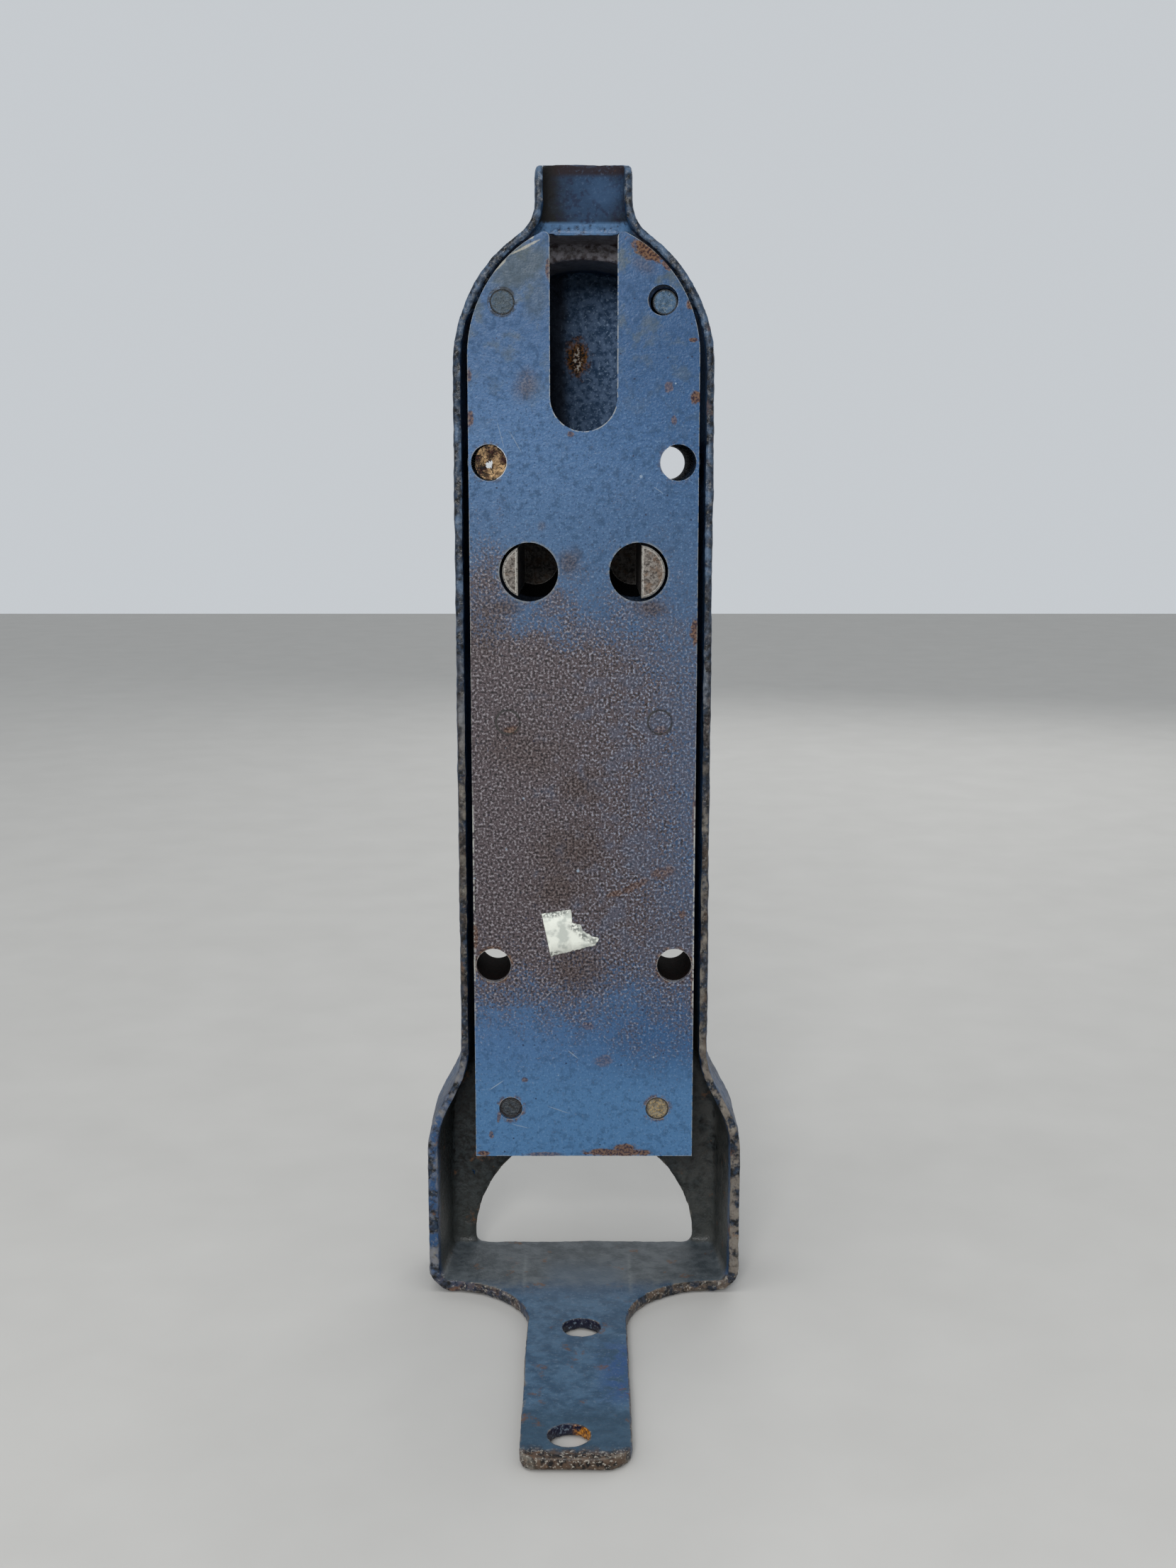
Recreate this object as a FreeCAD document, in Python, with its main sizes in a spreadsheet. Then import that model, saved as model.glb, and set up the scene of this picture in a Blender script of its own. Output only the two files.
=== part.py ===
import FreeCAD, Part
import Sketcher
import math
import os
import re

# Body of a lever-worked bench tool: a cast housing on a bent foot, a riveted front plate,
# and two half-round pins that turn in bushes in the back wall.
# Frame: +X right, +Y from the front plate into the housing, +Z up, millimetres.
# The origin lies on the foot's underside, below the front face of the plate.

Vector = FreeCAD.Vector
Placement = FreeCAD.Placement
Rotation = FreeCAD.Rotation

# ---------------------------------------------------------------- driving dimensions

DIMENSIONS = [
    # housing outline
    ("half_width", 58.2),
    ("rim_wall", 5.0),
    ("shoulder_base", 432.0),
    ("shoulder_radius", 70.0),
    ("pan_top", 494.0),
    ("pan_depth", 42.0),
    ("back_wall", 4.6),
    ("pan_draft", 1.4),
    ("pan_round", 5.0),
    # lower box and floor
    ("box_half", 74.6),
    ("box_wall", 6.2),
    ("box_draft", 4.0),
    ("box_top", 81.5),
    ("box_corner", 12.0),
    ("box_inner_corner", 4.0),
    ("flare_top", 111.3),
    ("flare_round", 40.0),
    ("floor_thick", 7.0),
    ("window_half", 53.0),
    ("window_spring", 11.5),
    # deep upper chamber
    ("chamber_centre", 428.0),
    ("chamber_depth", 99.6),
    ("chamber_round", 8.0),
    ("shelf_low", 290.0),
    ("shelf_high", 318.0),
    # neck channel
    ("neck_half", 21.9),
    ("neck_top", 517.3),
    ("neck_rise", 2.1),
    ("neck_depth", 10.0),
    ("neck_fillet", 14.0),
    ("neck_corner", 3.0),
    ("channel_round", 4.0),
    ("lip_round", 4.5),
    # foot tongue
    ("foot_centre", -2.9),
    ("foot_half", 23.3),
    ("foot_reach", 157.0),
    ("foot_fillet", 40.0),
    ("foot_left_corner", 8.0),
    ("foot_right_corner", 13.0),
    ("foot_hole_radius", 7.8),
    ("rear_hole_across", -1.1),
    ("rear_hole_reach", 46.4),
    ("front_hole_across", -5.6),
    ("front_hole_reach", 138.4),
    # front plate
    ("plate_half", 50.8),
    ("plate_thick", 3.0),
    ("plate_bottom", 69.2),
    ("plate_shoulder_base", 436.8),
    ("plate_shoulder_radius", 58.0),
    ("slot_half", 14.75),
    ("slot_bottom", 404.5),
    ("slot_corner", 2.5),
    # holes through the plate, the sleeves and the back wall
    ("bolt_radius", 7.95),
    ("bolt_half_span", 41.75),
    ("bolt_low", 162.0),
    ("bolt_high", 391.0),
    ("sleeve_radius", 9.6),
    # rivets and their spacers
    ("rivet_radius", 5.3),
    ("rivet_clearance", 0.15),
    ("rivet_head_radius", 8.2),
    ("rivet_head_tall", 3.6),
    ("rivet_half_span", 34.3),
    ("top_rivet_half_span", 35.4),
    ("rivet_bottom", 92.7),
    ("rivet_middle", 275.6),
    ("rivet_top", 459.6),
    ("loose_hole_radius", 6.55),
    ("loose_hole_shift", 0.85),
    ("spacer_radius", 8.5),
    ("lug_radius", 12.0),
    # half-round pins and their bearings
    ("pin_half_span", 24.5),
    ("pin_height", 343.0),
    ("pin_radius", 11.8),
    ("pin_front", 0.8),
    ("pin_chamfer", 0.8),
    ("left_flat", 5.0),
    ("right_flat", 1.3),
    ("pin_hole_radius", 13.15),
    ("running_clearance", 0.06),
    ("bush_radius", 15.0),
    ("bush_flange_radius", 17.6),
    ("bush_flange_thick", 2.0),
    ("boss_radius", 19.0),
    ("boss_back", 110.0),
    ("washer_radius", 17.0),
    ("washer_thick", 1.5),
    ("ring_radius", 14.6),
    ("ring_thick", 1.1),
    ("ring_groove_depth", 1.0),
    ("ring_split_half", 2.0),
    ("end_gap", 0.2),
    ("journal_tail", 1.6),
]

SHEET = "dims"
AT_FRONT = 2.0      # how far a cutting form stands out past the face that it opens
OVERRUN = 5.0       # how far a hole or a cutting form runs on past the wall that it goes through
FAR = 20.0          # how far a form reaches into a region where another form trims it
NEAR = 4.0          # how close to a spot the middle of an edge must lie to be picked


def fill_sheet(doc):
    sheet = doc.addObject("Spreadsheet::Sheet", SHEET)
    for row, (alias, value) in enumerate(DIMENSIONS, start=1):
        sheet.set(f"A{row}", alias)
        sheet.set(f"B{row}", str(value))
        sheet.setAlias(f"B{row}", alias)
    doc.recompute()
    return sheet


def full(expression):
    """Puts the sheet's name in front of every dimension in an expression."""
    names = {alias for alias, _ in DIMENSIONS}

    def with_sheet(word):
        return f"{SHEET}.{word[0]}" if word[0] in names else word[0]

    return re.sub("[a-z_]+", with_sheet, expression)


def number(expression):
    return float(sheet.evalExpression(full(expression)))


# ---------------------------------------------------------------- sketches and features

def new_body(name):
    return doc.addObject("PartDesign::Body", name)


def origin_plane(body, role):
    return next(item for item in body.Origin.OriginFeatures if item.Role == role)


def arc_between(start, end, radius, turn):
    """A circle's short arc from start to end; turn is 1 to the left and -1 to the right."""
    chord = end - start
    sag_line = Vector(-chord.y, chord.x, 0).normalize()
    rise = math.sqrt(max(radius ** 2 - (chord.Length / 2) ** 2, 0.0))
    centre = (start + end) * 0.5 + sag_line * (rise * turn)
    first, last = (start, end) if turn > 0 else (end, start)
    begin = math.atan2(first.y - centre.y, first.x - centre.x)
    finish = math.atan2(last.y - centre.y, last.x - centre.x)
    if finish <= begin:
        finish += 2 * math.pi
    return Part.ArcOfCircle(Part.Circle(centre, Vector(0, 0, 1), radius), begin, finish)


def outline(body, name, role, corners, offset="0"):
    """A closed sketch. Each corner is (across, up) or (across, up, radius, turn), where the
    radius and turn describe the arc that leaves the corner; all sizes are expressions."""
    sketch = body.newObject("Sketcher::SketchObject", name)
    sketch.AttachmentSupport = [(origin_plane(body, role), "")]
    sketch.MapMode = "FlatFace"
    sketch.setExpression("AttachmentOffset.Base.z", full(offset))
    points = [Vector(number(corner[0]), number(corner[1]), 0) for corner in corners]
    ends = []
    for index, corner in enumerate(corners):
        start = points[index]
        end = points[(index + 1) % len(points)]
        if len(corner) == 2:
            edge = sketch.addGeometry(Part.LineSegment(start, end))
            ends.append((edge, 1, 2))
            continue
        edge = sketch.addGeometry(arc_between(start, end, number(corner[2]), corner[3]))
        ends.append((edge, 1, 2) if corner[3] > 0 else (edge, 2, 1))
    for index, (edge, _, last) in enumerate(ends):
        following, first, _ = ends[(index + 1) % len(ends)]
        sketch.addConstraint(Sketcher.Constraint("Coincident", edge, last, following, first))
    for index, corner in enumerate(corners):
        edge, first, _ = ends[index]
        bind(sketch, Sketcher.Constraint("DistanceX", edge, first, points[index].x), corner[0])
        bind(sketch, Sketcher.Constraint("DistanceY", edge, first, points[index].y), corner[1])
        if len(corner) == 4:
            size = number(corner[2])
            bind(sketch, Sketcher.Constraint("Radius", edge, size), corner[2])
    return sketch


def bind(sketch, constraint, expression):
    index = sketch.addConstraint(constraint)
    sketch.setExpression(f"Constraints[{index}]", full(expression))


def circles(body, name, role, places, offset="0"):
    """A sketch of circles; each place is (across, up, radius) as expressions."""
    sketch = body.newObject("Sketcher::SketchObject", name)
    sketch.AttachmentSupport = [(origin_plane(body, role), "")]
    sketch.MapMode = "FlatFace"
    sketch.setExpression("AttachmentOffset.Base.z", full(offset))
    for across, up, radius in places:
        centre = Vector(number(across), number(up), 0)
        shape = Part.Circle(centre, Vector(0, 0, 1), number(radius))
        edge = sketch.addGeometry(shape)
        bind(sketch, Sketcher.Constraint("DistanceX", edge, 3, centre.x), across)
        bind(sketch, Sketcher.Constraint("DistanceY", edge, 3, centre.y), up)
        bind(sketch, Sketcher.Constraint("Radius", edge, number(radius)), radius)
    return sketch


def pad(body, sketch, length, reverse=False):
    feature = body.newObject("PartDesign::Pad", sketch.Name + "_pad")
    feature.Profile = sketch
    feature.Reversed = reverse
    feature.setExpression("Length", full(length))
    doc.recompute()
    return feature


def pocket(body, sketch, length, reverse=False):
    before = body.Shape.Volume
    feature = body.newObject("PartDesign::Pocket", sketch.Name + "_cut")
    feature.Profile = sketch
    feature.Reversed = reverse
    feature.setExpression("Length", full(length))
    doc.recompute()
    assert body.Shape.Volume < before - 1.0, f"{feature.Name} cuts nothing"
    return feature


def fillet(body, radius, edges):
    """Rounds the edges of a body's tip that the test picks."""
    base = body.Tip
    picked = [f"Edge{i}" for i, edge in enumerate(base.Shape.Edges, start=1) if edges(edge)]
    assert picked, f"no edge to round on {body.Name}"
    feature = body.newObject("PartDesign::Fillet", f"{base.Name}_round")
    feature.Base = (base, picked)
    feature.setExpression("Radius", full(radius))
    doc.recompute()
    return feature


def along_y_near(*spots):
    """Picks edges that run along Y and whose middle is near an (x, z) spot."""
    def test(edge):
        box = edge.BoundBox
        if box.YLength < max(box.XLength, box.ZLength):
            return False
        middle = box.Center
        return any(math.hypot(middle.x - x, middle.z - z) < NEAR for x, z in spots)
    return test


def in_plane_y(place):
    """Picks edges that lie in the plane at one y."""
    def test(edge):
        box = edge.BoundBox
        return abs(box.YMin - place) < 0.01 and abs(box.YMax - place) < 0.01
    return test


def cylinder(name, radius, start, length, across, up):
    """A cylinder along Y, as a Part primitive bound to the sheet."""
    shape = doc.addObject("Part::Cylinder", name)
    shape.setExpression("Radius", full(radius))
    shape.setExpression("Height", full(length))
    shape.Placement = Placement(Vector(), Rotation(Vector(1, 0, 0), -90))
    shape.setExpression("Placement.Base.x", full(across))
    shape.setExpression("Placement.Base.y", full(start))
    shape.setExpression("Placement.Base.z", full(up))
    return shape


def fuse(name, shapes):
    result = doc.addObject("Part::MultiFuse", name)
    result.Shapes = shapes
    result.Refine = True
    return result


def cut(name, base, tool):
    result = doc.addObject("Part::Cut", name)
    result.Base = base
    result.Tool = tool
    result.Refine = True
    return result


def mirrored(right_half):
    """Closes an outline whose right half runs upwards, turning the same way on the left."""
    left_half = []
    for index in range(len(right_half) - 1, -1, -1):
        corner = right_half[index]
        entering = right_half[index - 1] if index else ()
        arc = tuple(entering[2:]) if len(entering) == 4 else ()
        left_half.append((f"-( {corner[0]} )", corner[1]) + arc)
    return [tuple(corner) for corner in right_half] + left_half


# ---------------------------------------------------------------- housing

PAN_BACK = "( pan_depth + back_wall )"
CHAMBER_BACK = "( chamber_depth + back_wall )"


def pan_corners(inset, box_inset, bottom, corner):
    """The pan's outline, seen from the front, drawn in by an inset."""
    half = f"( half_width - {inset} )"
    box = f"( box_half - {box_inset} )"
    radius = f"( shoulder_radius - {inset} )"
    top = f"( pan_top - {inset} )"
    rise = f"( {top} - shoulder_base )"
    top_half = f"( {half} - {radius} + sqrt( {radius} * {radius} - {rise} * {rise} ) )"
    lean = f"( ( {box} - {half} ) / ( flare_top - box_top ) )"
    slant = f"sqrt( 1 + {lean} * {lean} )"
    run = f"( flare_round * ( {slant} - 1 ) / {lean} )"
    across = f"( {run} * {lean} / {slant} )"
    up = f"( {run} / {slant} )"
    return mirrored([
        (f"( {box} - {corner} )", bottom, corner, 1),
        (box, f"( {bottom} + {corner} )"),
        (box, f"( box_top - {run} )", "flare_round", 1),
        (f"( {box} - {across} )", f"( box_top + {up} )"),
        (f"( {half} + {across} )", f"( flare_top - {up} )", "flare_round", -1),
        (half, f"( flare_top + {run} )"),
        (half, "shoulder_base", radius, 1),
        (top_half, top),
    ])


def pan_outer():
    body = new_body("pan_outer")
    sketch = outline(body, "pan_outer_outline", "XZ_Plane",
                     pan_corners("0", "0", "0", "box_corner"))
    pad(body, sketch, PAN_BACK, reverse=True)
    back = in_plane_y(number(PAN_BACK))
    top = number("pan_top")
    fillet(body, "pan_round", lambda edge: back(edge) and edge.BoundBox.ZMin < top - 1)
    return body


def pan_inner():
    """The pan's hollow, which narrows towards the back as a casting does."""
    body = new_body("pan_inner")
    front = outline(body, "pan_inner_front", "XZ_Plane",
                    pan_corners("rim_wall", "box_wall", "floor_thick", "box_inner_corner"))
    back_inset = "( rim_wall + pan_draft )"
    box_inset = "( box_wall + box_draft )"
    back = outline(body, "pan_inner_back", "XZ_Plane",
                   pan_corners(back_inset, box_inset, "floor_thick", "box_inner_corner"),
                   offset="-( pan_depth )")
    loft = body.newObject("PartDesign::AdditiveLoft", "pan_inner_loft")
    loft.Profile = front
    loft.Sections = [back]
    loft.Ruled = True
    doc.recompute()
    return body


def pan_mouth():
    """Opens the hollow through the rim's front face."""
    body = new_body("pan_mouth")
    sketch = outline(body, "pan_mouth_outline", "XZ_Plane",
                     pan_corners("rim_wall", "box_wall", "floor_thick", "box_inner_corner"))
    pad(body, sketch, str(AT_FRONT))
    return body


def chamber(name, inset, start, back):
    """The deep upper chamber: round on top, on a sloping shelf, from start to back along Y."""
    body = new_body(name)
    half = f"( half_width - {inset} )"
    bottom = f"shelf_low - {FAR}"
    sketch = outline(body, name + "_outline", "XZ_Plane", [
        (half, bottom),
        (half, "chamber_centre", half, 1),
        ("0", f"chamber_centre + {half}", half, 1),
        (f"-{half}", "chamber_centre"),
        (f"-{half}", bottom),
    ], offset=f"-( {start} )")
    pad(body, sketch, f"{back} - {start}", reverse=True)
    slope = f"( ( shelf_high - shelf_low ) / ( {CHAMBER_BACK} - {PAN_BACK} ) )"
    lift = f"( {inset} * sqrt( 1 + {slope} * {slope} ) )"
    first = f"( {start} - {OVERRUN} )"
    last = f"( {back} + {OVERRUN} )"
    under = outline(body, name + "_underside", "YZ_Plane", [
        (first, f"( shelf_low + {lift} + ( {first} - {PAN_BACK} ) * {slope} )"),
        (first, f"shelf_low - 2 * {FAR}"),
        (last, f"shelf_low - 2 * {FAR}"),
        (last, f"( shelf_low + {lift} + ( {last} - {PAN_BACK} ) * {slope} )"),
    ], offset=f"half_width + {OVERRUN}")
    pocket(body, under, f"2 * ( half_width + {OVERRUN} )")
    return body


def chamber_outer():
    body = chamber("chamber_outer", "0", "( pan_depth / 2 )", CHAMBER_BACK)
    fillet(body, "chamber_round", in_plane_y(number(CHAMBER_BACK)))
    return body


def neck_corners(inset):
    """The neck, with the hollow curve that runs from its sides into the shoulders."""
    reach = f"( neck_half + neck_fillet - half_width + shoulder_radius )"
    hub = "( shoulder_radius + neck_fillet )"
    drop = f"sqrt( {hub} * {hub} - {reach} * {reach} )"
    share = f"( ( shoulder_radius - {inset} ) / {hub} )"
    foot_x = f"( half_width - shoulder_radius + {reach} * {share} )"
    foot_z = f"( shoulder_base + {drop} * {share} )"
    side = f"( neck_half - {inset} )"
    return mirrored([
        (foot_x, f"shoulder_base + {FAR}"),
        (foot_x, foot_z, f"( neck_fillet + {inset} )", -1),
        (side, f"( shoulder_base + {drop} )"),
        (side, f"neck_top + {FAR}"),
    ])


def neck_outer():
    body = new_body("neck_outer")
    sketch = outline(body, "neck_outline", "XZ_Plane", neck_corners("0"))
    depth = "( neck_depth + back_wall )"
    pad(body, sketch, depth, reverse=True)
    beyond = f"( neck_rise * {AT_FRONT} / {depth} )"
    top = outline(body, "neck_top_slant", "YZ_Plane", [
        (f"-{AT_FRONT}", f"neck_top - {beyond}"),
        (f"{depth} + {AT_FRONT}", f"neck_top + neck_rise + {beyond}"),
        (f"{depth} + {AT_FRONT}", f"neck_top + 2 * {FAR}"),
        (f"-{AT_FRONT}", f"neck_top + 2 * {FAR}"),
    ], offset=f"neck_half + {FAR}")
    pocket(body, top, f"2 * ( neck_half + {FAR} )")
    side = number("neck_half")
    fillet(body, "neck_corner", along_y_near((side, number("neck_top")), (-side, number("neck_top"))))
    return body


def neck_channel():
    body = new_body("neck_channel")
    sketch = outline(body, "channel_outline", "XZ_Plane", neck_corners("rim_wall"),
                     offset=str(AT_FRONT))
    pad(body, sketch, f"neck_depth + {AT_FRONT}", reverse=True)
    depth = number("neck_depth")
    side = number("neck_half") - number("rim_wall")

    def floor_side(edge):
        box = edge.BoundBox
        upright = box.ZLength > box.XLength
        return in_plane_y(depth)(edge) and upright and abs(abs(box.Center.x) - side) < NEAR

    fillet(body, "channel_round", floor_side)
    return body


def foot_tongue():
    body = new_body("foot_tongue")
    left = "( foot_centre - foot_half )"
    right = "( foot_centre + foot_half )"
    sketch = outline(body, "foot_outline", "XY_Plane", [
        (f"{left} - foot_fillet", "pan_round"),
        (f"{left} - foot_fillet", "0", "foot_fillet", -1),
        (left, "-foot_fillet"),
        (left, "foot_left_corner - foot_reach", "foot_left_corner", 1),
        (f"{left} + foot_left_corner", "-foot_reach"),
        (f"{right} - foot_right_corner", "-foot_reach", "foot_right_corner", 1),
        (right, "foot_right_corner - foot_reach"),
        (right, "-foot_fillet", "foot_fillet", -1),
        (f"{right} + foot_fillet", "0"),
        (f"{right} + foot_fillet", "pan_round"),
    ])
    pad(body, sketch, "floor_thick")
    holes = circles(body, "foot_holes", "XY_Plane", [
        ("rear_hole_across", "-rear_hole_reach", "foot_hole_radius"),
        ("front_hole_across", "-front_hole_reach", "foot_hole_radius"),
    ], offset="floor_thick")
    pocket(body, holes, "floor_thick")
    return body


def window():
    """The arched opening through the back wall, down to the floor."""
    body = new_body("window")
    sketch = outline(body, "window_outline", "XZ_Plane", [
        ("window_half", "floor_thick"),
        ("window_half", "window_spring", "window_half", 1),
        ("0", "window_spring + window_half", "window_half", 1),
        ("-window_half", "window_spring"),
        ("-window_half", "floor_thick"),
    ], offset=f"-( pan_depth - {OVERRUN} )")
    pad(body, sketch, f"back_wall + 2 * {OVERRUN}", reverse=True)
    return body


SIDES = (("left", "-"), ("right", ""))


def housing():
    lugs = [cylinder(f"lug_{side}", "lug_radius", "plate_thick",
                     f"{PAN_BACK} - plate_thick", f"{sign}top_rivet_half_span", "rivet_top")
            for side, sign in SIDES]
    bosses = [cylinder(f"boss_{side}", "boss_radius", "chamber_depth",
                       "boss_back - chamber_depth", f"{sign}pin_half_span", "pin_height")
              for side, sign in SIDES]
    solid = fuse("housing_solid", [pan_outer(), chamber_outer(), neck_outer(), foot_tongue()] + bosses)
    deep = chamber("chamber_inner", "rim_wall", "neck_depth", "chamber_depth")
    hollow = fuse("housing_hollow", [pan_mouth(), pan_inner(), deep, neck_channel(), window()])
    shell = cut("housing_walls", solid, hollow)
    with_lugs = fuse("housing_with_lugs", [shell] + lugs)
    return cut("housing_shell", with_lugs, fuse("housing_holes", housing_holes() + [lip_relief()]))


def housing_holes():
    """Holes for the bushes, bolts and rivets, and room for the heads of the top rivets."""
    holes = []
    rivet_hole = "rivet_radius + rivet_clearance"
    for side, sign in SIDES:
        holes.append(cylinder(f"bush_bore_{side}", "bush_radius", f"chamber_depth - {OVERRUN}",
                              f"boss_back - chamber_depth + 2 * {OVERRUN}",
                              f"{sign}pin_half_span", "pin_height"))
        for level in ("low", "high"):
            holes.append(cylinder(f"bolt_hole_{level}_{side}", "bolt_radius",
                                  f"pan_depth - {OVERRUN}",
                                  f"{CHAMBER_BACK} - pan_depth + 2 * {OVERRUN}",
                                  f"{sign}bolt_half_span", f"bolt_{level}"))
        for level in ("bottom", "middle"):
            holes.append(cylinder(f"rivet_hole_{level}_{side}", rivet_hole,
                                  f"pan_depth - {OVERRUN}", f"back_wall + 2 * {OVERRUN}",
                                  f"{sign}rivet_half_span", f"rivet_{level}"))
        holes.append(cylinder(f"rivet_hole_top_{side}", rivet_hole, "0",
                              f"{PAN_BACK} + {OVERRUN}", f"{sign}top_rivet_half_span", "rivet_top"))
        holes.append(cylinder(f"head_room_{side}", "rivet_head_radius + rivet_clearance",
                              PAN_BACK, "rivet_head_tall + rivet_clearance",
                              f"{sign}top_rivet_half_span", "rivet_top"))
    return holes


def lip_relief():
    """Rounds the lip where the neck channel's floor turns into the pan's ceiling."""
    ceiling = "( pan_top - rim_wall )"
    bar = new_body("lip_bar")
    sketch = outline(bar, "lip_profile", "YZ_Plane", [
        ("neck_depth", ceiling),
        ("neck_depth + lip_round", ceiling, "lip_round", -1),
        ("neck_depth", f"{ceiling} + lip_round"),
    ], offset="-2 * neck_half")
    pad(bar, sketch, "4 * neck_half")
    reach = new_body("lip_reach")
    across = outline(reach, "lip_outline", "XZ_Plane", neck_corners("rim_wall"))
    pad(reach, across, "neck_depth + lip_round", reverse=True)
    relief = doc.addObject("Part::Common", "lip_relief")
    relief.Base = bar
    relief.Tool = reach
    return relief


# ---------------------------------------------------------------- front plate

def front_plate():
    body = new_body("front_plate")
    centre = "( plate_half - plate_shoulder_radius )"
    run = f"( slot_half - {centre} )"
    top = ("( plate_shoulder_base + sqrt( plate_shoulder_radius * plate_shoulder_radius - "
           f"{run} * {run} ) )")
    sketch = outline(body, "plate_outline", "XZ_Plane", [
        ("plate_half", "plate_bottom"),
        ("plate_half", "plate_shoulder_base", "plate_shoulder_radius", 1),
        ("slot_half", top),
        ("slot_half", "slot_bottom + slot_half", "slot_half", -1),
        ("0", "slot_bottom", "slot_half", -1),
        ("-slot_half", "slot_bottom + slot_half"),
        ("-slot_half", top, "plate_shoulder_radius", 1),
        ("-plate_half", "plate_shoulder_base"),
        ("-plate_half", "plate_bottom"),
    ])
    pad(body, sketch, "plate_thick", reverse=True)
    places = []
    for _, sign in SIDES:
        places.append((f"{sign}pin_half_span", "pin_height", "pin_hole_radius"))
        places.append((f"{sign}bolt_half_span", "bolt_low", "bolt_radius"))
        places.append((f"{sign}bolt_half_span", "bolt_high", "bolt_radius"))
        places.append((f"{sign}rivet_half_span", "rivet_bottom", "rivet_radius + rivet_clearance"))
        places.append((f"{sign}rivet_half_span", "rivet_middle", "rivet_radius + rivet_clearance"))
    places.append(("-top_rivet_half_span", "rivet_top", "rivet_radius + rivet_clearance"))
    places.append(("top_rivet_half_span - loose_hole_shift", "rivet_top + loose_hole_shift",
                   "loose_hole_radius"))
    pocket(body, circles(body, "plate_holes", "XZ_Plane", places), "plate_thick")
    slot = number("slot_half")
    peak = number(top)

    def slot_corner(edge):
        middle = edge.BoundBox.Center
        return edge.BoundBox.YLength > 1 and math.hypot(abs(middle.x) - slot, middle.z - peak) < 1

    fillet(body, "slot_corner", slot_corner)
    return body


# ---------------------------------------------------------------- fasteners and sleeves

def rivet(name, recess, seat, across, up):
    """A rivet along Y: flush end at the plate, domed head behind the wall at seat."""
    body = new_body(name)
    head = "rivet_head_radius"
    tall = "rivet_head_tall"
    crown = f"( ( {head} * {head} + {tall} * {tall} ) / ( 2 * {tall} ) )"
    profile = outline(body, name + "_profile", "YZ_Plane", [
        (str(recess), "0"),
        (seat + " + " + tall, "0", crown, 1),
        (seat, head),
        (seat, "rivet_radius"),
        (str(recess), "rivet_radius"),
    ])
    turned = body.newObject("PartDesign::Revolution", name + "_turned")
    turned.Profile = profile
    turned.ReferenceAxis = (profile, ["H_Axis"])
    turned.Angle = 360
    place(body, across, "0", up)
    return body


def place(item, across, along, up):
    item.setExpression("Placement.Base.x", full(across))
    item.setExpression("Placement.Base.y", full(along))
    item.setExpression("Placement.Base.z", full(up))


def tube(name, outer, inner, start, length, across, up):
    """A plain tube along Y."""
    body = new_body(name)
    ring = circles(body, name + "_ring", "XZ_Plane", [("0", "0", outer), ("0", "0", inner)])
    pad(body, ring, length, reverse=True)
    place(body, across, start, up)
    return body


RIVET_RECESS = {
    "top_left": 0.1, "top_right": 0.9,
    "middle_left": 0.05, "middle_right": 0.05,
    "bottom_left": 1.9, "bottom_right": 0.3,
}


def rivets_and_spacers():
    pieces = []
    for side, sign in SIDES:
        for level in ("top", "middle", "bottom"):
            span = "top_rivet_half_span" if level == "top" else "rivet_half_span"
            across = f"{sign}{span}"
            up = f"rivet_{level}"
            place_name = f"{level}_{side}"
            recess = RIVET_RECESS[place_name]
            pieces.append(rivet(f"rivet_{place_name}", recess, PAN_BACK, across, up))
            if level != "top":
                pieces.append(tube(f"spacer_{place_name}", "spacer_radius",
                                   "rivet_radius + rivet_clearance", "plate_thick",
                                   "pan_depth - plate_thick", across, up))
    return pieces


def bolt_sleeves():
    pieces = []
    for side, sign in SIDES:
        for level, wall in (("low", "pan_depth"), ("high", "chamber_depth")):
            pieces.append(tube(f"bolt_sleeve_{level}_{side}", "sleeve_radius", "bolt_radius",
                               "plate_thick", f"{wall} - plate_thick",
                               f"{sign}bolt_half_span", f"bolt_{level}"))
    return pieces


# ---------------------------------------------------------------- half-round pins

JOURNAL_START = "( chamber_depth - bush_flange_thick )"
WASHER_START = "( boss_back + end_gap )"
RING_START = "( boss_back + washer_thick + 2 * end_gap )"
PIN_END = "( boss_back + washer_thick + ring_thick + 3 * end_gap + journal_tail )"


def half_round_pin(side, sign):
    """A round journal at the back, and ahead of it a long half-round bar with a flat."""
    name = f"half_round_pin_{side}"
    body = new_body(name)
    round_bar = circles(body, name + "_bar", "XZ_Plane", [("0", "0", "pin_radius")],
                        offset="-( pin_front )")
    pad(body, round_bar, f"{PIN_END} - pin_front", reverse=True)
    flat = f"{sign}{side}_flat"
    far = "-" if sign == "" else ""
    beyond = f"( pin_radius + {AT_FRONT} )"
    relief = outline(body, name + "_relief", "XZ_Plane", [
        (flat, f"-{beyond}"),
        (flat, beyond),
        (f"{far}{beyond}", beyond),
        (f"{far}{beyond}", f"-{beyond}"),
    ])
    pocket(body, relief, JOURNAL_START)
    groove = circles(body, name + "_groove", "XZ_Plane", [
        ("0", "0", beyond),
        ("0", "0", "pin_radius - ring_groove_depth"),
    ], offset=f"-( {RING_START} - end_gap / 2 )")
    pocket(body, groove, "ring_thick + end_gap")
    front = number("pin_front")
    bevel = body.newObject("PartDesign::Chamfer", name + "_bevel")
    base = body.getObject(name + "_groove_cut")
    names = [f"Edge{i}" for i, edge in enumerate(base.Shape.Edges, start=1)
             if in_plane_y(front)(edge)]
    bevel.Base = (base, names)
    bevel.setExpression("Size", full("pin_chamfer"))
    place(body, f"{sign}pin_half_span", "0", "pin_height")
    return body


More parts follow.
